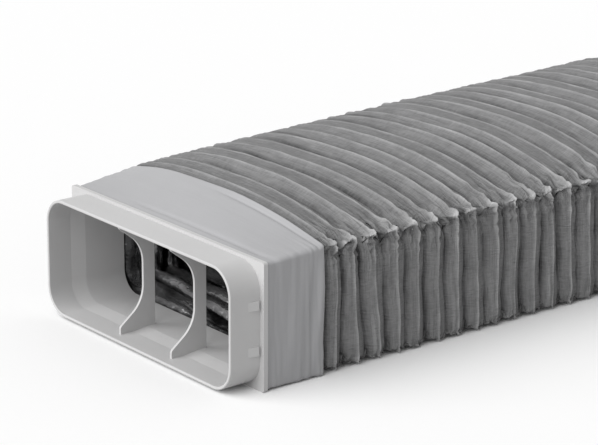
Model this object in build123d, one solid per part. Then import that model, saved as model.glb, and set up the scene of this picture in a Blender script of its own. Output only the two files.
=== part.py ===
"""Flexible flat duct: a pleated fabric hose on spring wire, with a moulded connector taped into each end.

The duct lies along Y on the plane z = 0, where the lower edges of its two flanges stand.
"""
import os
from collections import namedtuple

from build123d import *

# Driving dimensions, in millimetres
overall_length = 700.0

spigot_width = 222.0
spigot_height = 89.0
spigot_depth = 25.5
spigot_corner = 20.0
spigot_wall = 2.2
rim_chamfer = 0.5

flange_width = 230.0
flange_height = 93.0
flange_thickness = 3.5
flange_corner = 2.0

collar_depth = 37.0
collar_corner = 10.0
throat_step = 1.5
throat_slope = 12.0

vane_spacing = 62.0
vane_thickness = 2.0
vane_nose = 8.5
vane_waist = 29.0
vane_tail = 38.8
vane_foot = 7.5
vane_bend = 23.5
vane_foot_radius = 3.0
vane_bend_radius = 25.0

catch_spacing = 32.8
catch_height = 6.7
catch_start = 15.3
catch_length = 8.0
catch_rise = 1.5

cuff_length = 49.0
cuff_setback = 1.0
cuff_bevel = 2.0
cuff_crown = 1.0
tape_thickness = 0.4

hose_width = 228.0
hose_clearance = 1.0
hose_shoulder = 94.0
hose_bevel = 5.0
crown_at_cuff = 14.5
crown_at_middle = 24.0
crown_fullness = 3.0
dome_fullness = 2.2
dome_facets = 5
fabric_thickness = 0.7

turns = 29
first_tuck = 3.0
side_fold = 8.0
top_fold = 3.5
bottom_fold = 2.0

wire_size = 1.4
glue_gap = 0.1

# Places along the duct, from the front rim to the middle
rim_y = -overall_length / 2
flange_y = rim_y + spigot_depth
cuff_y = flange_y + flange_thickness
hose_y = cuff_y + cuff_length
pitch = -2 * hose_y / turns
middle_height = flange_height / 2

# One cross-section of the hose: half its width, then the heights of belly, shoulders and dome, and the lower bevel
Section = namedtuple("Section", "half_width bottom shoulder crown bevel")


def inset(section, depth):
    """The same cross-section moved inwards by a depth on every side."""
    return section._replace(
        half_width=section.half_width - depth,
        bottom=section.bottom + depth,
        shoulder=section.shoulder - depth,
    )


def between(start, end, share):
    """The cross-section that lies part of the way from one to another."""
    return Section(*(a + share * (b - a) for a, b in zip(start, end)))


def outline(section, y):
    """Face of a cross-section at y: flat belly, upright sides, and a flattened dome in a few straight facets."""
    half = section.half_width
    dome = []
    for facet in range(dome_facets + 1):
        across = 1 - 2 * facet / dome_facets
        up = 1 - abs(across) ** dome_fullness
        dome.append((half * across, section.shoulder + section.crown * up))
    belly = [
        (-half, section.bottom + section.bevel),
        (section.bevel - half, section.bottom),
        (half - section.bevel, section.bottom),
        (half, section.bottom + section.bevel),
    ]
    return Pos(0, y, 0) * (Plane.XZ * make_face(Polyline(*dome, *belly, close=True)))


def tube(stations, wall):
    """Thin-walled tube through the cross-sections at its stations, straight between one and the next."""
    outer = [outline(section, y) for section, y in stations]
    inner = [outline(inset(section, wall), y) for section, y in stations]
    return loft(outer, ruled=True) - loft(inner, ruled=True)


def flange_section():
    """Outside of the tape where it meets the flange: nearly the flange's own rectangle."""
    return Section(
        half_width=flange_width / 2 - cuff_setback,
        bottom=cuff_setback,
        shoulder=flange_height - cuff_setback - cuff_crown,
        crown=cuff_crown,
        bevel=cuff_bevel,
    )


def crest(y):
    """Outside of the hose over a wire turn. Its dome rises from the cuffs to the middle of the duct."""
    rise = 1 - abs(y / hose_y) ** crown_fullness
    crown = crown_at_cuff + (crown_at_middle - crown_at_cuff) * rise
    return Section(hose_width / 2, hose_clearance, hose_shoulder, crown, hose_bevel)


def turn_places():
    """Where the wire turns lie along the duct."""
    return [hose_y + (turn + 0.5) * pitch for turn in range(turns)]


def fold_places():
    """Where the folds lie: a tuck behind each cuff, and one fold between each two turns."""
    tuck_y = hose_y + first_tuck
    return [tuck_y, *(hose_y + turn * pitch for turn in range(1, turns)), -tuck_y]


def valley(y):
    """Outside of the hose in the fold between two wire turns."""
    section = crest(y)
    return section._replace(
        half_width=section.half_width - side_fold,
        bottom=section.bottom + bottom_fold,
        shoulder=section.shoulder - top_fold,
    )


def upright_face(width, height, corner, y):
    """Rectangle with rounded corners, facing along the duct, level with the middle of the flange."""
    return Pos(0, y, middle_height) * (Plane.XZ * RectangleRounded(width, height, corner))


def slab(width, height, corner, start, end):
    """Upright block with rounded corners, from one y to another."""
    return extrude(upright_face(width, height, corner, end), end - start)


def vane(bore):
    """Upright web across the mouth. Its front edge flares towards the rim at the foot and at the head."""
    low = middle_height - spigot_height / 2
    high = middle_height + spigot_height / 2
    front = FilletPolyline(
        (rim_y + vane_nose, low),
        (rim_y + vane_nose, low + vane_foot),
        (rim_y + vane_waist, low + vane_bend),
        (rim_y + vane_waist, high - vane_bend),
        (rim_y + vane_nose, high - vane_foot),
        (rim_y + vane_nose, high),
        radius=(vane_foot_radius, vane_bend_radius, vane_bend_radius, vane_foot_radius),
    )
    back = Polyline(front @ 1, (rim_y + vane_tail, high), (rim_y + vane_tail, low), front @ 0)
    web = extrude(Plane.YZ * make_face(front + back), vane_thickness / 2, both=True)
    return [Pos(side * vane_spacing / 2, 0, 0) * web & bore for side in (-1, 1)]


def catches():
    """Wedges on both sides of the spigot, each rising towards the flange to a step."""
    root = (spigot_width - spigot_wall) / 2
    face = spigot_width / 2
    start = rim_y + catch_start
    end = start + catch_length
    wedges = []
    for side in (-1, 1):
        profile = make_face(
            Polyline(
                (side * root, start),
                (side * face, start),
                (side * (face + catch_rise), end),
                (side * root, end),
                close=True,
            )
        )
        wedge = extrude(profile, catch_height / 2, both=True)
        for level in (-1, 1):
            wedges.append(Pos(0, 0, middle_height + level * catch_spacing / 2) * wedge)
    return wedges


def connector():
    """Front moulding: spigot, flange and collar round one open throat, with its vanes and catches."""
    seat = inset(flange_section(), tape_thickness + fabric_thickness + 2 * glue_gap)
    collar_height = seat.shoulder - seat.bottom
    collar_end = cuff_y + collar_depth
    collar_drop = Pos(0, 0, seat.bottom + collar_height / 2 - middle_height)

    spigot = slab(spigot_width, spigot_height, spigot_corner, rim_y, flange_y)
    flange = slab(flange_width, flange_height, flange_corner, flange_y, cuff_y)
    collar = collar_drop * slab(2 * seat.half_width, collar_height, collar_corner, cuff_y, collar_end)

    slope_start = flange_y - throat_slope / 2
    slope_end = flange_y + throat_slope / 2
    throat_wall = spigot_wall + throat_step
    mouth = (spigot_width - 2 * spigot_wall, spigot_height - 2 * spigot_wall, spigot_corner - spigot_wall)
    throat = (spigot_width - 2 * throat_wall, spigot_height - 2 * throat_wall, spigot_corner - throat_wall)
    slope = loft([upright_face(*mouth, slope_start), upright_face(*throat, slope_end)], ruled=True)
    bore = slab(*mouth, rim_y, slope_start) + slope + slab(*throat, slope_end, collar_end)

    body = spigot + flange + collar - bore
    rim = body.faces().sort_by(Axis.Y)[0]
    body = chamfer(rim.edges(), rim_chamfer)
    return body + vane(bore) + catches()


def cuff():
    """Front band of sealing tape, drawn from the flange's rectangle to the domed end of the hose."""
    return tube([(flange_section(), cuff_y), (crest(hose_y), hose_y)], tape_thickness)


def hose():
    """Fabric skin: a plain sleeve under each cuff, then pleats from fold to crest over every wire turn."""
    under_tape = tape_thickness + glue_gap
    root = inset(flange_section(), under_tape)
    end = inset(crest(hose_y), under_tape)
    pleats = [(valley(y), y) for y in fold_places()] + [(crest(y), y) for y in turn_places()]
    pleats.sort(key=lambda station: station[1])
    stations = [(root, cuff_y), (end, hose_y), *pleats, (end, -hose_y), (root, -cuff_y)]
    return tube(stations, fabric_thickness)


def wire_hoop(y, fold_y):
    """One closed turn of wire, seated inside a crest of the fabric, beside the fold at fold_y."""
    skin = between(crest(y), valley(fold_y), wire_size / 2 / abs(fold_y - y))
    outer = inset(skin, fabric_thickness + glue_gap)
    ring = outline(outer, 0) - outline(inset(outer, wire_size), 0)
    return Pos(0, y, 0) * extrude(ring, wire_size / 2, both=True)


def wire_hoops():
    """All turns of wire, each fitted to the fold on its outer side, where the dome is lower."""
    folds = fold_places()
    hoops = []
    for turn, y in enumerate(turn_places()):
        fold_y = folds[turn] if y < 0 else folds[turn + 1]
        hoops.append(wire_hoop(y, fold_y))
    return Compound(hoops)


front_connector = connector()
front_cuff = cuff()
half_turn = Rot(0, 0, 180)

nodes = {
    "front_connector": front_connector,
    "rear_connector": half_turn * front_connector,
    "front_cuff": front_cuff,
    "rear_cuff": half_turn * front_cuff,
    "hose": hose(),
    "wire_hoops": wire_hoops(),
}

os.makedirs("parts", exist_ok=True)
for name, solid in nodes.items():
    export_step(solid, f"parts/{name}.step")
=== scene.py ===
import math

import bmesh
import bpy
from mathutils import Matrix, Vector, noise


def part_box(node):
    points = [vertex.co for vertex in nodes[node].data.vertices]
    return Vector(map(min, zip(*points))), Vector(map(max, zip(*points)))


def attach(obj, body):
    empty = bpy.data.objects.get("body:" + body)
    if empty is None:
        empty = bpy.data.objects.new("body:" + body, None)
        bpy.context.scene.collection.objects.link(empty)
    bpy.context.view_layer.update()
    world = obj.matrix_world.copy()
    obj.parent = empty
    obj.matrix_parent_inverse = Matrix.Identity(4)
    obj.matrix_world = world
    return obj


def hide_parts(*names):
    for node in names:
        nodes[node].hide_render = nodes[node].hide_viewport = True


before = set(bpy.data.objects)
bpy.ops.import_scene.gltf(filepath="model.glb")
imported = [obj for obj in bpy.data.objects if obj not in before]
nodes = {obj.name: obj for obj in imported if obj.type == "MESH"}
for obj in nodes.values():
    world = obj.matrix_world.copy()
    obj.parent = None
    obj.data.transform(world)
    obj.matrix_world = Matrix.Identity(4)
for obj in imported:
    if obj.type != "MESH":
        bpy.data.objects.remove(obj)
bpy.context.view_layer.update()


# Connectors
# Each end of the duct is one light-grey injection moulding: spigot, flange, collar, vanes and catches.
# Its satin skin has the fine grain of the mould and faint flow shading, and its collar goes into the hose.

class Shade:
    """A node tree and one of its output sockets, so that shader maths reads as plain arithmetic."""

    def __init__(self, tree, socket=None):
        self.tree = tree
        self.socket = socket

    def node(self, kind, settings, sockets, output=0):
        """Add a node: its settings first, then the values or links of its sockets."""
        made = self.tree.nodes.new(kind)
        for name, value in settings.items():
            setattr(made, name, value)
        for name, value in sockets.items():
            self.feed(made.inputs[name], value)
        return Shade(self.tree, made.outputs[output])

    def feed(self, target, value):
        """Give an input socket a value, or a link from another node."""
        if isinstance(value, Shade):
            self.tree.links.new(value.socket, target)
        else:
            target.default_value = value

    def maths(self, operation, first, second):
        return self.node("ShaderNodeMath", {"operation": operation}, {0: first, 1: second})

    def __add__(self, other):
        return self.maths("ADD", self, other)

    def __radd__(self, other):
        return self.maths("ADD", other, self)

    def __sub__(self, other):
        return self.maths("SUBTRACT", self, other)

    def __rsub__(self, other):
        return self.maths("SUBTRACT", other, self)

    def __mul__(self, other):
        return self.maths("MULTIPLY", self, other)

    def __rmul__(self, other):
        return self.maths("MULTIPLY", other, self)

    def at_most(self, limit):
        return self.maths("MINIMUM", self, limit)

    def object_place(self):
        return self.node("ShaderNodeTexCoord", {}, {}, output="Object")

    def painted(self, name):
        """A value that the mesh carries on its vertices."""
        return self.node("ShaderNodeAttribute", {"attribute_name": name}, {}, output="Fac")

    def stretched(self, place, scale):
        """The place with its axes scaled, for a grain that runs one way."""
        return self.node("ShaderNodeMapping", {}, {"Vector": place, "Scale": scale})

    def speckle(self, place, scale=1.0, detail=2.0):
        """Smooth noise, about 0.5 on average."""
        return self.node("ShaderNodeTexNoise", {}, {"Vector": place, "Scale": scale, "Detail": detail})

    def tint(self, share, dark, light):
        """Colour between a dark and a light one, which are inputs 6 and 7 of a Mix node."""
        colours = {"Factor": share, 6: (*dark, 1.0), 7: (*light, 1.0)}
        return self.node("ShaderNodeMix", {"data_type": "RGBA"}, colours, output=2)

    def bump(self, height, distance):
        """Normal of a relief whose height of 1 stands for the distance, in metres."""
        return self.node("ShaderNodeBump", {}, {"Height": height, "Distance": distance})


def new_finish(name):
    """A fresh material, its shade helper and its surface node."""
    material = bpy.data.materials.new(name)
    material.use_nodes = True
    return material, Shade(material.node_tree), material.node_tree.nodes["Principled BSDF"]


def moulded_plastic():
    """Light-grey plastic with a fine mould grain and faint flow shading."""
    dark = (0.53, 0.527, 0.527)
    light = (0.58, 0.577, 0.577)
    material, shade, surface = new_finish("connector_moulding")
    place = shade.object_place()
    flow = shade.speckle(shade.stretched(place, (1.0, 3.0, 1.0)), scale=14.0, detail=3.0)
    grain = shade.speckle(place, scale=2600.0, detail=1.0)
    shade.feed(surface.inputs["Base Color"], shade.tint(flow, dark, light))
    shade.feed(surface.inputs["Roughness"], 0.4 + 0.12 * grain)
    shade.feed(surface.inputs["Normal"], shade.bump(grain, 0.00003))
    surface.inputs["Specular IOR Level"].default_value = 0.4
    return material


plastic = moulded_plastic()
for name in ("front_connector", "rear_connector"):
    nodes[name].data.materials.clear()
    nodes[name].data.materials.append(plastic)


# Hose
# A dark grey coated-weave sleeve is glued round a spring wire and lined with black film. Pushed part closed,
# it stands in a ridge over each wire turn and tucks in between. Its plain ends go over the collars.

turns = 29
sleeve_start, pleat_start = (corner.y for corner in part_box("front_cuff"))
pleat_end = -pleat_start
sleeve_length = pleat_start - sleeve_start
pitch = (pleat_end - pleat_start) / turns
half_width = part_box("hose")[1].x
floor_gap = 0.0012

# Rows of the mesh through one pleat, from a fold at 0 to the next at 1, and along a sleeve from its end at 1
crest_phase = 0.6
pleat_phases = (
    0, 0.04, 0.08, 0.12, 0.18, 0.25, 0.38, 0.5, 0.56, 0.585, 0.6, 0.618, 0.66, 0.76, 0.87, 0.94, 0.975,
)
film_phases = (0, 0.2, 0.42, 0.6, 0.615, 0.65, 0.72, 0.83)
sleeve_shares = (1, 0.5, 0.26, 0.24, 0.22, 0.18, 0.12, 0.02)

# Lines of the mesh round the duct, how far they draw together at its edges, and how near points are merged
columns_around = 128
edge_crowding = 0.75
merge_distance = 0.000001

# Heights of the shoulders and the top, where the hose leaves the tape and how much they swell further on
right_shoulder = 0.0944
left_shoulder = 0.0975
left_swell = 0.0115
top_height = 0.1085
top_swell = 0.0105
swell_reach = 0.9
swell_fullness = 0.6
swell_close = 0.14
right_fall = 1.8
left_fall = 3.2
skin_corner = 0.0016

# How far the folds lean, slant and wander along the duct, their lead in turns, and the tuck behind the tape
side_lean = 0.0045
top_slant = 0.003
slow_wander = 0.0035
quick_wander = 0.0012
shoulder_jog = 0.006
fold_lead = 0.1
first_tuck = 0.1 * pitch
cuff_reach = 0.03

# Depths of the skin through one pleat, from the gap in front of it over its crest to the next gap
side_profile = (
    (0.0, 0.0090), (0.04, 0.0085), (0.12, 0.0056), (0.18, 0.0024), (0.25, 0.0016), (0.56, 0.0003),
    (0.6, 0.0), (0.66, 0.0004), (0.9, 0.0022), (0.96, 0.0042), (1.0, 0.0090),
)
belly_share = 0.3
top_crease = 0.0065
top_panel = 0.0009
lip_drop = 0.0020
corner_notch = 0.0068
left_corner_share = 0.1
wire_ridge = 0.0008
ridge_width = 0.045
second_ridge_height = 0.003
second_ridge_phase = 0.36
second_ridge_width = 0.05
side_streak = 0.0008
skin_dimple = 0.0004
under_tape = 0.0012
shoulder_blend = 0.024
strong_top_folds = (0, 2, 4, 6, 7, 8, 10, 11, 12, 14, 16, 17, 19, 21, 22, 24, 26, 27, 29)

# Small creases along the right shoulder and, weaker, along the foot of the right side
crease_depth = 0.0075
fine_crease_depth = 0.0038
shoulder_puff = 0.0012
foot_share = 0.6

# How far notches, creases and the tight left skin reach from their edges, as shares of the side or of the top
notch_reach_down = 0.13
notch_reach_in = 0.08
crease_reach_down = 0.2
crease_reach_in = 0.12
foot_reach = 0.07
left_reach = 0.4


def smooth(share):
    """Ease from 0 to 1, held at both ends."""
    share = min(max(share, 0.0), 1.0)
    return share * share * (3 - 2 * share)


def band(value, middle, width):
    """1 in the middle of a narrow band, falling to 0 on either side of it."""
    return math.exp(-((value - middle) / width) ** 2)


def crowd_ends(share):
    """The share of a stretch, with its steps drawn towards both ends."""
    return share - edge_crowding * math.sin(2 * math.pi * share) / (2 * math.pi)


def swell(y):
    """How far the hose has risen above its height at the cuffs, from 0 to 1."""
    share = (y - pleat_start) / (pleat_end - pleat_start)
    share = min(max(share, 0.0), 1.0)
    return min(share / swell_reach, 1.0) ** swell_fullness * smooth((1 - share) / swell_close)


def hose_heights(y):
    """Heights of the right shoulder, the left shoulder and the top at a place along the pleats."""
    rise = swell(y)
    return right_shoulder, left_shoulder + left_swell * rise, top_height + top_swell * rise


def section_point(around, heights, corner):
    """Point of a cross-section: around 0 to 1 up the right side, to 2 over the top, to 3 down, to 4 below."""
    right, left, top = heights
    side = min(int(around), 3)
    along = around - side
    cut = corner * (1 - math.sqrt(0.5))
    if side in (0, 2):
        high = right if side == 0 else left
        rise = along if side == 0 else 1 - along
        z = floor_gap + cut + rise * (high - floor_gap - 2 * cut)
        past = max(0.0, floor_gap + corner - z, z - high + corner) / corner
        x = half_width - corner * (1 - math.sqrt(max(0.0, 1 - past * past)))
        return (x if side == 0 else -x), z
    reach = half_width - cut
    x = reach * (1 - 2 * along) * (1 if side == 1 else -1)
    past = max(0.0, abs(x) - half_width + corner) / corner
    drop = corner * (1 - math.sqrt(max(0.0, 1 - past * past)))
    if side == 3:
        return x, floor_gap + drop
    shoulder, fall = (right, right_fall) if x > 0 else (left, left_fall)
    return x, shoulder + (top - shoulder) * (1 - (abs(x) / reach) ** fall) - drop


def section_frame(around, heights, corner):
    """The point of a cross-section and its outward direction there."""
    step = 0.004
    x, z = section_point(around, heights, corner)
    back_x, back_z = section_point((around - step) % 4, heights, corner)
    next_x, next_z = section_point((around + step) % 4, heights, corner)
    outward = Vector((next_z - back_z, 0.0, back_x - next_x)).normalized()
    return x, z, outward


def between_edges(values, around):
    """A value between those given at the four edges, from the right foot round to the right foot again."""
    side = min(int(around), 3)
    return values[side] + (values[side + 1] - values[side]) * (around - side)


def unevenness(fold, around, scale, seed, stride=6.1):
    """Smooth noise from -1 to 1 along one fold or pleat, closed round the duct."""
    angle = around * math.pi / 2
    return noise.noise(Vector((scale * math.cos(angle), scale * math.sin(angle), stride * fold + seed)))


def patches(turn, phase, around, along, across, seed):
    """Smooth noise from -1 to 1 over one pleat, scaled along the duct and across, which is round it."""
    return noise.noise(Vector((along * phase + 9 * turn, across * around, seed)))


def corner_nearness(around):
    """1 on the edge between the right side and the top, falling to 0 a little way down and in from it."""
    return 1 - smooth(abs(around - 1.0) / (notch_reach_down if around < 1 else notch_reach_in))


def edge_closeness(around):
    """1 on the right shoulder and, less, on the foot of the right side, fading away from them."""
    shoulder = band(around, 1.0, crease_reach_down if around < 1 else crease_reach_in)
    foot = band(min(around, 4 - around), 0.0, foot_reach)
    return max(shoulder, foot_share * foot)


def left_easing(around):
    """Folds are shallow over the left shoulder, where the skin is drawn tight."""
    return left_corner_share + (1 - left_corner_share) * smooth(abs(around - 2.0) / left_reach)


def upright_share(around, x):
    """1 on the sides, where the folds are deep, falling to 0 on the top and the belly."""
    side = min(int(around), 3)
    if side in (0, 2):
        return 1.0
    return 1 - smooth((half_width - abs(x)) / shoulder_blend)


def fold_place(fold):
    """Where a fold lies along the duct. The first and last are tucks close behind the tape."""
    if fold == 0:
        return pleat_start + first_tuck
    if fold == turns:
        return pleat_end - first_tuck
    return pleat_start + (fold - fold_lead) * pitch


def slant(around):
    """How far a fold has shifted on its way round the duct: it winds with the wire, and returns below."""
    return between_edges((side_lean, 0.0, -top_slant, -top_slant - side_lean, side_lean), around)


def wander(fold, around):
    """Uneven drift of one fold, which closes on itself round the duct, with a jog at the right shoulder."""
    slow = slow_wander * unevenness(fold, around, scale=1.1, seed=0.0, stride=3.7)
    quick = quick_wander * unevenness(fold, around, scale=4.2, seed=40.0, stride=5.3)
    jog = shoulder_jog * noise.noise(Vector((7.3 * fold, 16.0 * around, 55.0))) * corner_nearness(around)
    return slow + quick + jog


def fold_y(fold, around):
    """Where a fold crosses one place round the duct."""
    y = fold_place(fold)
    free = smooth((min(y - pleat_start, pleat_end - y) - first_tuck) / cuff_reach)
    return y + free * (slant(around) + wander(fold, around))


def nearest_fold(turn, phase):
    """The fold in front of a place in a pleat, or past the crest the one behind it."""
    return turn if phase < crest_phase else turn + 1


def side_strength(fold, around):
    """How deep a fold is on the sides, where some stay nearly shut and others gape."""
    slow = unevenness(fold, around, scale=0.8, seed=17.0)
    quick = unevenness(fold, around, scale=2.5, seed=5.0)
    return 0.72 + 0.5 * slow + 0.4 * quick


def side_depth(phase):
    """Depth of the side at a phase of a pleat, straight between the places of the profile."""
    for (start, low), (end, high) in zip(side_profile, side_profile[1:]):
        if phase <= end:
            return low + (high - low) * (phase - start) / (end - start)


def top_strength(fold, around):
    """How strong a fold is on the top, where every second one or so fades out."""
    strength = 1.0 if fold in strong_top_folds else 0.0
    return min(max(strength + 0.5 * unevenness(fold, around, scale=0.9, seed=71.0), 0.0), 1.2)


def top_depth(turn, phase, around):
    """Depth of the top: up from a fold to the ridge, then a panel that falls to a lip and the next fold."""
    front = top_strength(turn, around)
    rear = top_strength(turn + 1, around)
    lip = lip_drop * max(0.0, 1 - front)
    if phase < crest_phase:
        fold = top_panel + top_crease * front
        share = 0.3 * max(0.0, 1 - phase / 0.09) + 0.7 * (1 - phase / crest_phase)
    else:
        fold = top_panel + top_crease * rear
        share = ((phase - crest_phase) / (1 - crest_phase)) ** (1.2 + 1.3 * rear)
    return lip + (fold - lip) * share


def notch_depth(turn, phase, around):
    """Depth of the open notch where a fold crosses the right shoulder."""
    if phase < crest_phase:
        open_share = (1 - phase / crest_phase) ** 1.6
    else:
        open_share = (phase - crest_phase) / (1 - crest_phase)
    wide = 1 + 0.9 * unevenness(nearest_fold(turn, phase), 0.0, scale=1.0, seed=25.0)
    return corner_notch * corner_nearness(around) * open_share * wide


def second_ridge(turn, phase, around, upright):
    """A weaker ridge that stands up here and there in the side panel in front of a crest."""
    share = max(0.0, unevenness(turn, around, scale=1.3, seed=91.0))
    middle = second_ridge_phase + 0.12 * unevenness(turn, around, scale=0.9, seed=12.0)
    return upright * share * band(phase, middle, second_ridge_width)


def crumple(turn, phase, around):
    """Depth of the small sharp creases that crowd along the edges of the side."""
    swirl = patches(turn, phase, around, along=3.2, across=15.0, seed=77.0)
    fine = patches(turn, phase, around, along=6.5, across=34.0, seed=31.0)
    puffed = shoulder_puff if 0.5 < around < 2.5 else 0.0
    return edge_closeness(around) * (crease_depth * abs(swirl) + fine_crease_depth * abs(fine) - puffed)


def skin_depth(turn, phase, around, x):
    """How far the skin lies inside its full outline."""
    upright = upright_share(around, x)
    lean = 1 + 0.35 * unevenness(turn, around, scale=1.6, seed=43.0)
    steep = side_depth(phase ** lean) * side_strength(nearest_fold(turn, phase), around)
    flat = belly_share * side_depth(phase) if around > 3 else top_depth(turn, phase, around)
    folds = left_easing(around) * (upright * steep + (1 - upright) * flat)
    point = corner_nearness(around) * (1.5 + 2.5 * unevenness(turn, 0.0, scale=1.0, seed=37.0))
    ridge = wire_ridge * left_easing(around) * (1 + point) * band(phase, crest_phase, ridge_width)
    ridge += second_ridge_height * second_ridge(turn, phase, around, upright)
    streak = side_streak * upright * patches(turn, phase, around, along=7.0, across=2.2, seed=2.0)
    dimple = skin_dimple * patches(turn, phase, around, along=3.0, across=14.0, seed=8.0)
    notch = notch_depth(turn, phase, around)
    return folds + notch - ridge + streak + dimple + crumple(turn, phase, around)


def painted_fold_shading(turn, phase, around, x):
    """Painted shading of the fabric in a pleat: painted shade below 0 in a fold, behind the crest and in
    pockets below the right shoulder, painted highlights over the wire, on second ridges and along the right
    shoulder, and the sides a little paler.
    """
    upright = upright_share(around, x)
    tucked = corner_nearness(around)
    fold = nearest_fold(turn, phase)
    # Painted shade in the folds: deeper at the right shoulder, and on the top only where a fold is strong
    fold_shade = max(0.1, 0.28 + 0.6 * unevenness(fold, around, scale=2.6, seed=63.0)) + 0.4 * tucked
    fold_shade *= upright + (1 - upright) * min(1.2, 0.15 + 1.3 * top_strength(fold, around))
    creased = max(smooth((0.32 - phase) / 0.26), smooth((phase - 0.86) / 0.1))
    # Painted highlight along each crest over the wire, brighter at the right shoulder
    drawn = max(0.0, 0.7 + 0.7 * unevenness(turn, around, scale=5.0, seed=51.0)) + 0.5 * tucked
    broken = patches(turn, phase, around, along=6.0, across=0.0, seed=61.0)
    # Painted highlight along the right shoulder's edge, and painted shadow in pockets just below it
    edge = (1.3 + 1.2 * broken) * band(around, 1.0, 0.012) * smooth((phase - 0.1) / 0.2)
    shoulder_pocket_shadow = max(0.0, 0.25 - 1.1 * broken) * band(around, 0.95, 0.03)
    # Painted highlight on the second ridges, and painted shade behind each crest on the sides
    line = 2.0 * second_ridge(turn, phase, around, upright)
    shaded = 0.25 * upright * smooth((phase - crest_phase) / 0.05)
    # Painted light makes the sides a little paler; the deepest painted shade is then taken off the highlights
    light = 0.1 * upright + max(edge, line, drawn * band(phase, crest_phase, 0.04))
    return light - max(shaded, shoulder_pocket_shadow, fold_shade * creased)


# Heights of the tape round the sleeve, from the hose's own to the flange's rectangle
tape_corner = 0.002
flange_shoulder = 0.0915
flange_crown = 0.0006


def tape_heights(share):
    """Heights of the tape's shoulders and top, from the hose at share 0 to the flange at share 1."""
    flange_heights = (flange_shoulder, flange_shoulder, flange_shoulder + flange_crown)
    ends = zip(hose_heights(pleat_start), flange_heights)
    return [hose + share * (flange - hose) for hose, flange in ends]


def skin_point(around, position):
    """Place and painted shading of the skin. A position counts turns, and is below 0 or past the last on the
    sleeves.
    """
    if 0 <= position <= turns:
        turn = min(int(position), turns - 1)
        phase = position - turn
        start = fold_y(turn, around)
        y = start + phase * (fold_y(turn + 1, around) - start)
        x, z, outward = section_frame(around, hose_heights(y), skin_corner)
        place = Vector((x, y, z)) - outward * skin_depth(turn, phase, around, x)
        return place, painted_fold_shading(turn, phase, around, x)
    rear = position > turns
    share = position - turns if rear else -position
    y = pleat_start + share * (sleeve_start - pleat_start)
    x, z, outward = section_frame(around, tape_heights(share), tape_corner)
    place = Vector((x, -y if rear else y, z)) - outward * under_tape
    return place, 0.0


# The lining bulges into the duct in rolls between the wire turns, and its rolls lie askew on the duct's floor
film_corner = 0.009
film_gap = 0.0003
film_clearance = 0.0026
film_base = 0.0034
film_base_floor = 0.0062
film_roll_side = 0.0105
film_roll_flat = 0.0115
film_apex = 0.38
film_unevenness = 0.3
first_roll_drop = 0.6
film_skew = 0.019
skew_end = 0.036

# It leaves the collar part of the way along the sleeve, and its first roll ends on the first wire turn
collar_share = (pleat_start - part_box("front_connector")[1].y) / sleeve_length
first_wire = crest_phase * pitch / sleeve_length


def film_drift(around, x):
    """How far the rolls run towards the front on the floor of the duct, where they lie askew."""
    if around <= 3:
        return 0.0
    from_left = (half_width + x) / (half_width + skew_end)
    from_right = (half_width - x) / (half_width - skew_end)
    return film_skew * min(from_left, from_right)


def skewed_share(position):
    """How askew the rolls are: fully from the first wire to mid-length, and not at all at either end."""
    past_collar = collar_share + position * (pitch / sleeve_length if position > 0 else 1)
    return max(0.0, min(1.0, past_collar / (collar_share + first_wire), 2 - 2 * position / turns))


def film_roll(along, fold, around, x):
    """Height of one roll of the lining, from the wire in front of it at 0 to the wire behind it at 1."""
    along = min(max(along, 0.0), 1.0)
    off = along / film_apex - 1 if along < film_apex else (along - film_apex) / (1 - film_apex)
    full = film_roll_flat + (film_roll_side - film_roll_flat) * upright_share(around, x)
    if fold <= 0:
        full *= 1 - first_roll_drop * film_drift(around, x) / film_skew
    uneven = 1 + film_unevenness * unevenness(max(fold, 0), around, scale=4.5, seed=33.0)
    return full * math.sqrt(1 - off * off) * uneven


def painted_film_shading(roll, around, x):
    """Painted shading of the lining: painted shade at 0 in the creases and lower on the walls, and a painted
    highlight at about 1 on top of a roll.
    """
    return roll / film_roll_flat - 0.5 * upright_share(around, x)


def film_point(around, position):
    """Place and painted shading of the lining. Its end rows lie on the skin's, so that the two make one
    closed wall.
    """
    place, _ = skin_point(around, position)
    if position in (-1, turns + 1):
        return place, 0.0
    if not 0 <= position <= turns:
        share = max(-position, position - turns)
        x, z, outward = section_frame(around, tape_heights(share), film_corner)
        roll = film_roll((collar_share - share) / (collar_share + first_wire), position, around, x)
        depth = under_tape + film_gap + roll
    else:
        turn = min(int(position), turns - 1)
        phase = position - turn
        x, z, outward = section_frame(around, hose_heights(place.y), film_corner)
        fold = turn if phase <= crest_phase else turn + 1
        along = turn + phase - fold + 1 - crest_phase
        if fold in (0, turns):
            past_sleeve = min(position, turns - position) * pitch / sleeve_length
            along = (collar_share + past_sleeve) / (collar_share + first_wire)
        roll = film_roll(along, fold, around, x)
        flat = 1 - upright_share(around, x) if around > 3 else 0.0
        base = film_base + (film_base_floor - film_base) * flat
        clearance = film_clearance * (1 + 2 * edge_closeness(around))
        depth = max(base + roll, skin_depth(turn, phase, around, x) + clearance)
    y = place.y - film_drift(around, x) * skewed_share(position)
    return Vector((x, y, z)) - outward * depth, painted_film_shading(roll, around, x)


# The cloth laid flat, in metres: its places at the edges round the duct, and its length in one pleat
cloth_edges = (0.0, 0.093, 0.323, 0.423, 0.651)
cloth_per_turn = 0.028


def cloth_place(around, position):
    """Place on the cloth laid flat: round the duct, and along it with the folds drawn out."""
    return between_edges(cloth_edges, around), cloth_per_turn * position


def pleat_positions(phases):
    """Rows of a tube along the duct: the front sleeve, then every pleat, then the rear sleeve."""
    pleats = [turn + phase for turn in range(turns) for phase in phases] + [turns]
    front = [-share for share in sleeve_shares]
    rear = [turns + share for share in reversed(sleeve_shares)]
    return front + pleats + rear


def column_place(column):
    """Place round the duct of one lengthwise line of a tube. The lines draw together at the four edges."""
    per_side = columns_around // 4
    side = min(column // per_side, 3)
    return side + crowd_ends(column / per_side - side)


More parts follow.
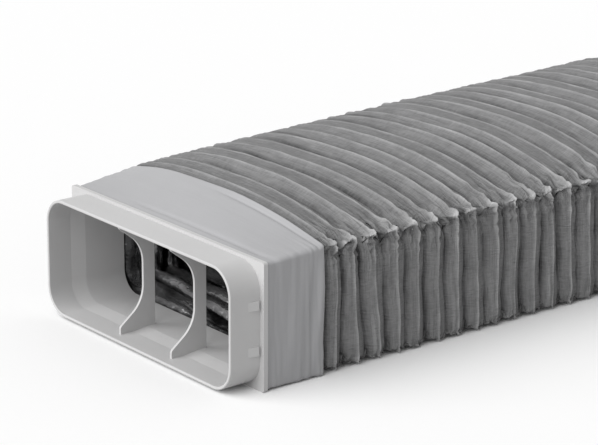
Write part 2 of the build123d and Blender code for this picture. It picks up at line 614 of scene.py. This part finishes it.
def flat_tube(mesh, rows):
    """A flat grid to be rolled into a tube: its vertices, each with its place round the duct and its row."""
    grid = bmesh.ops.create_grid(mesh, x_segments=columns_around, y_segments=rows, size=1.0)["verts"]
    laid = []
    for vert in grid:
        column = round((vert.co.x + 1) / 2 * columns_around)
        row = round((vert.co.y + 1) / 2 * rows)
        laid.append((vert, column_place(column), row))
    return laid


def add_tube(mesh, positions, point, material_index):
    """Tube with the places and the painted shading that a function gives round and along the duct."""
    tone = mesh.verts.layers.float["painted_fold_shading"]
    creased = mesh.verts.layers.float["creased"]
    cloth = mesh.loops.layers.uv["cloth"]
    grid = flat_tube(mesh, len(positions) - 1)
    for vert, around, row in grid:
        vert.co, vert[tone] = point(around % 4, positions[row])
        vert[creased] = edge_closeness(around)
        for loop in vert.link_loops:
            loop[cloth].uv = cloth_place(around, positions[row])
        for face in vert.link_faces:
            face.material_index = material_index
            face.smooth = True
    bmesh.ops.remove_doubles(mesh, verts=[vert for vert, _, _ in grid], dist=merge_distance)


def finished(name, mesh, materials):
    """Object at the origin from a bmesh, with its material slots."""
    data = bpy.data.meshes.new(name)
    mesh.to_mesh(data)
    mesh.free()
    for material in materials:
        data.materials.append(material)
    piece = bpy.data.objects.new(name, data)
    bpy.context.scene.collection.objects.link(piece)
    return piece


def coated_weave():
    """Dark grey fabric with a coarse weave and tucks along the creased edges, with painted shade in its folds
    and painted highlights over its crests.
    """
    dark = (0.07, 0.07, 0.071)
    light = (0.45, 0.45, 0.453)
    material, shade, surface = new_finish("coated_weave")
    cloth = shade.node("ShaderNodeUVMap", {"uv_map": "cloth"}, {})
    cloudy = shade.speckle(cloth, scale=70.0, detail=4.0)
    warp = shade.speckle(shade.stretched(cloth, (60.0, 900.0, 1.0)))
    weft = shade.speckle(shade.stretched(cloth, (900.0, 110.0, 1.0)))
    weave = warp + weft - 1.0
    drawn = shade.speckle(shade.stretched(cloth, (14.0, 260.0, 1.0)), detail=3.0)
    tucks = shade.painted("creased") * (shade.speckle(shade.stretched(cloth, (45.0, 210.0, 1.0))) - 0.5)
    threads = 0.34 * weave + 0.3 * (cloudy - 0.5) + 0.2 * (drawn - 0.5)
    # The painted fold shading darkens the fabric in its folds as painted shade, and lightens it over crests
    # and the shoulder as painted highlights
    share = 0.38 + 0.45 * shade.painted("painted_fold_shading") + threads + 1.2 * tucks
    relief = weave + 1.5 * cloudy + 0.9 * drawn + 5.0 * tucks
    shade.feed(surface.inputs["Base Color"], shade.tint(share, dark, light))
    shade.feed(surface.inputs["Normal"], shade.bump(relief, 0.0009))
    surface.inputs["Roughness"].default_value = 0.62
    surface.inputs["Specular IOR Level"].default_value = 0.2
    return material


def black_film():
    """Shiny crinkled film, with painted shade that makes it black in its creases and a painted highlight that
    makes it bright on its rolls.
    """
    dark = (0.04, 0.04, 0.041)
    light = (0.85, 0.85, 0.86)
    material, shade, surface = new_finish("black_film")
    crinkle = shade.speckle(shade.stretched(shade.object_place(), (40.0, 110.0, 70.0)), detail=3.0)
    # The painted shading makes the creases and walls black as painted shade, and the tops of the rolls bright
    # as a painted highlight
    share = 1.2 * shade.painted("painted_fold_shading") + 1.4 * (crinkle - 0.5) - 0.45
    shade.feed(surface.inputs["Base Color"], shade.tint(share, dark, light))
    shade.feed(surface.inputs["Roughness"], 0.1 + 0.12 * crinkle)
    shade.feed(surface.inputs["Normal"], shade.bump(crinkle, 0.0026))
    surface.inputs["Metallic"].default_value = 0.85
    return material


hose_mesh = bmesh.new()
# The mesh carries the painted shade and highlights of its folds, and how near each place is to a creased edge
hose_mesh.verts.layers.float.new("painted_fold_shading")
hose_mesh.verts.layers.float.new("creased")
hose_mesh.loops.layers.uv.new("cloth")
add_tube(hose_mesh, pleat_positions(pleat_phases), skin_point, 0)
add_tube(hose_mesh, pleat_positions(film_phases), film_point, 1)
bmesh.ops.remove_doubles(hose_mesh, verts=hose_mesh.verts, dist=merge_distance)
bmesh.ops.recalc_face_normals(hose_mesh, faces=hose_mesh.faces)
hose = finished("hose_skin", hose_mesh, [coated_weave(), black_film()])
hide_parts("hose")
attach(hose, "root")


# Spring wire
# One bright drawn steel wire winds through the hose, glued between the skin and the lining, and holds up
# every ridge. Here each of its turns is closed on itself, under the deepest crease of the skin beside it.

wire_radius = 0.0007
wire_cover = 2 * wire_radius
wire_corner = 0.006
wire_reach = (-0.05, 0.0, 0.05)


def wire_point(turn, around):
    """Middle of the wire at a place round the duct."""
    place, _ = skin_point(around, turn + crest_phase)
    x, z, outward = section_frame(around, hose_heights(place.y), wire_corner)
    beside = [(crest_phase + along, (around + aside) % 4) for along in wire_reach for aside in wire_reach]
    deepest = max(skin_depth(turn, phase, near, x) for phase, near in beside)
    cover = wire_cover * (1 + edge_closeness(around))
    return Vector((x, place.y, z)) - outward * (deepest + cover)


def drawn_steel():
    """Bright steel with a fine mottle."""
    dark = (0.42, 0.42, 0.43)
    light = (0.55, 0.55, 0.56)
    material, shade, surface = new_finish("drawn_steel")
    mottle = shade.speckle(shade.object_place(), scale=700.0)
    shade.feed(surface.inputs["Base Color"], shade.tint(mottle, dark, light))
    surface.inputs["Metallic"].default_value = 1.0
    surface.inputs["Roughness"].default_value = 0.3
    return material


wire_line = bpy.data.curves.new("wire_line", "CURVE")
wire_line.dimensions = "3D"
wire_line.bevel_depth = wire_radius
wire_line.bevel_resolution = 1
for turn in range(turns):
    spline = wire_line.splines.new("POLY")
    spline.points.add(columns_around - 1)
    spline.use_cyclic_u = True
    for column, point in enumerate(spline.points):
        point.co = (*wire_point(turn, column_place(column)), 1.0)
line = bpy.data.objects.new("wire_line", wire_line)
bpy.context.scene.collection.objects.link(line)
bpy.context.view_layer.update()
wire_data = bpy.data.meshes.new_from_object(line.evaluated_get(bpy.context.evaluated_depsgraph_get()))
bpy.data.objects.remove(line)
wire_data.name = "wire_turns"
wire_data.materials.append(drawn_steel())
wire = bpy.data.objects.new("wire_turns", wire_data)
bpy.context.scene.collection.objects.link(wire)
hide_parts("wire_hoops")
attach(wire, "root")


# Cuffs
# A band of soft light-grey sealing tape binds the hose to each collar. It starts square on the flange,
# and ends over the arched first tuck of the hose, with pulled wrinkles on its sides.

tape_thickness = 0.0004
tape_rows = 56
edge_wave = 0.0008
edge_wave_reach = 0.3

# Wrinkles on the sides, which are weaker on the left and fade towards the flange
wrinkle_swell = 0.0007
wrinkle_depth = 0.0023
crimp_depth = 0.001
left_wrinkles = 0.45
wrinkle_fade = 0.75

# A groove beside the flange and a hem at the hose, across the right part of the top
groove_depth = 0.0008
groove_share = 0.86
groove_width = 0.035
groove_left = -0.06
groove_left_fade = 0.03
groove_right = 0.108
groove_right_fade = 0.012
hem_height = 0.0009
hem_width = 0.03
hem_fold_share = 0.085
hem_fold_width = 0.025
hem_left = -0.02
hem_left_fade = 0.05


def tape_relief(around, share, x):
    """How far the tape stands out from its plain shape."""
    pull = wrinkle_depth * noise.noise(Vector((1.1 * around, 8.0 * share + 0.8 * around, 4.0)))
    crimp = crimp_depth * noise.noise(Vector((2.0 * around, 17.0 * share - 0.6 * around, 9.0)))
    strength = 1 if around < 1.5 else left_wrinkles
    upright = upright_share(around, x)
    wrinkles = strength * (wrinkle_swell + pull + crimp) * upright * (1 - wrinkle_fade * share)
    if not 1 <= around <= 2:
        return wrinkles
    grooved = smooth((x - groove_left) / groove_left_fade) * smooth((groove_right - x) / groove_right_fade)
    groove = groove_depth * grooved * band(share, groove_share, groove_width)
    hemmed = smooth((x - hem_left) / hem_left_fade)
    hem = hem_height * hemmed * (band(share, 0.0, hem_width) - band(share, hem_fold_share, hem_fold_width))
    return wrinkles - groove + hem


def tape_point(around, share):
    """Outside of the tape, from the hose at share 0 to the flange at share 1."""
    x, z, outward = section_frame(around, tape_heights(share), tape_corner)
    wavy = edge_wave * unevenness(0, around, scale=5.0, seed=3.0) * (1 - smooth(share / edge_wave_reach))
    y = pleat_start + share * (sleeve_start - pleat_start) + wavy
    return Vector((x, y, z)) + outward * tape_relief(around, share, x)


def soft_tape():
    """Soft light-grey film, faintly cloudy and pulled round the duct."""
    dark = (0.35, 0.35, 0.36)
    light = (0.4, 0.4, 0.41)
    material, shade, surface = new_finish("soft_tape")
    place = shade.object_place()
    cloudy = shade.speckle(place, scale=30.0, detail=4.0)
    pulled = shade.speckle(shade.stretched(place, (16.0, 160.0, 16.0)))
    shade.feed(surface.inputs["Base Color"], shade.tint(0.5 * cloudy + 0.5 * pulled, dark, light))
    shade.feed(surface.inputs["Normal"], shade.bump(cloudy + 0.5 * pulled, 0.0006))
    surface.inputs["Roughness"].default_value = 0.45
    return material


tape_finish = soft_tape()
for name, end in (("front", 1), ("rear", -1)):
    tape_mesh = bmesh.new()
    for vert, around, row in flat_tube(tape_mesh, tape_rows):
        vert.co = tape_point(around % 4, crowd_ends(row / tape_rows))
        vert.co.y *= end
    bmesh.ops.remove_doubles(tape_mesh, verts=tape_mesh.verts, dist=merge_distance)
    bmesh.ops.recalc_face_normals(tape_mesh, faces=tape_mesh.faces)
    bmesh.ops.solidify(tape_mesh, geom=tape_mesh.faces[:], thickness=tape_thickness)
    for face in tape_mesh.faces:
        face.smooth = True
    cuff = finished(f"{name}_cuff_tape", tape_mesh, [tape_finish])
    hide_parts(f"{name}_cuff")
    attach(cuff, "root")


# Floor, light and camera
# The duct lies on a plain pale floor, under one broad soft light from in front of its mouth and even light
# all round. The camera looks down at the mouth from the front right.

floor_size = 12.0
floor_grey = (0.6, 0.6, 0.6)
white = (1.0, 1.0, 1.0)
sun_from = Vector((-0.1, -0.8, 0.59))
sun_strength = 3.05
sun_spread = math.radians(75)
even_light = 0.42


def backdrop_rays(shade):
    """1 on the rays that show the white backdrop: those from the camera, and from shiny or clear surfaces."""
    camera_ray = shade.node("ShaderNodeLightPath", {}, {}, output="Is Camera Ray")
    glossy_ray = shade.node("ShaderNodeLightPath", {}, {}, output="Is Glossy Ray")
    clear_ray = shade.node("ShaderNodeLightPath", {}, {}, output="Is Transmission Ray")
    return (camera_ray + glossy_ray + clear_ray).at_most(1.0)


floor_mesh = bmesh.new()
bmesh.ops.create_grid(floor_mesh, x_segments=1, y_segments=1, size=floor_size)
floor_finish, shade, surface = new_finish("pale_floor")
shade.feed(surface.inputs["Base Color"], shade.tint(backdrop_rays(shade), floor_grey, white))
surface.inputs["Roughness"].default_value = 1.0
surface.inputs["Specular IOR Level"].default_value = 0.0
floor = finished("floor", floor_mesh, [floor_finish])

sun_data = bpy.data.lights.new("soft_sun", "SUN")
sun_data.energy = sun_strength
sun_data.angle = sun_spread
sun = bpy.data.objects.new("soft_sun", sun_data)
sun.rotation_euler = sun_from.to_track_quat("Z", "Y").to_euler()
bpy.context.scene.collection.objects.link(sun)

world = bpy.data.worlds.new("white_room")
bpy.context.scene.world = world
world.use_nodes = True
room = Shade(world.node_tree)
backdrop = world.node_tree.nodes["Background"]
backdrop.inputs["Color"].default_value = (*white, 1.0)
room.feed(backdrop.inputs["Strength"], even_light + (1 - even_light) * backdrop_rays(room))

camera_azimuth = math.radians(51.28)
camera_elevation = math.radians(17.67)
camera_roll = math.radians(0.34)
camera_lens = 155.83
camera_place = Vector((1.4094, -1.3325, 0.6446))

right = Vector((math.cos(camera_azimuth), math.sin(camera_azimuth), 0.0))
level = math.cos(camera_elevation)
back = Vector((right.y * level, -right.x * level, math.sin(camera_elevation)))
turned = Matrix((right, back.cross(right), back)).transposed() @ Matrix.Rotation(camera_roll, 3, "Z")

camera_data = bpy.data.cameras.new("camera")
camera_data.lens = camera_lens
camera = bpy.data.objects.new("camera", camera_data)
camera.matrix_world = Matrix.Translation(camera_place) @ turned.to_4x4()
bpy.context.scene.collection.objects.link(camera)
bpy.context.scene.camera = camera
bpy.context.scene.view_settings.view_transform = "Standard"
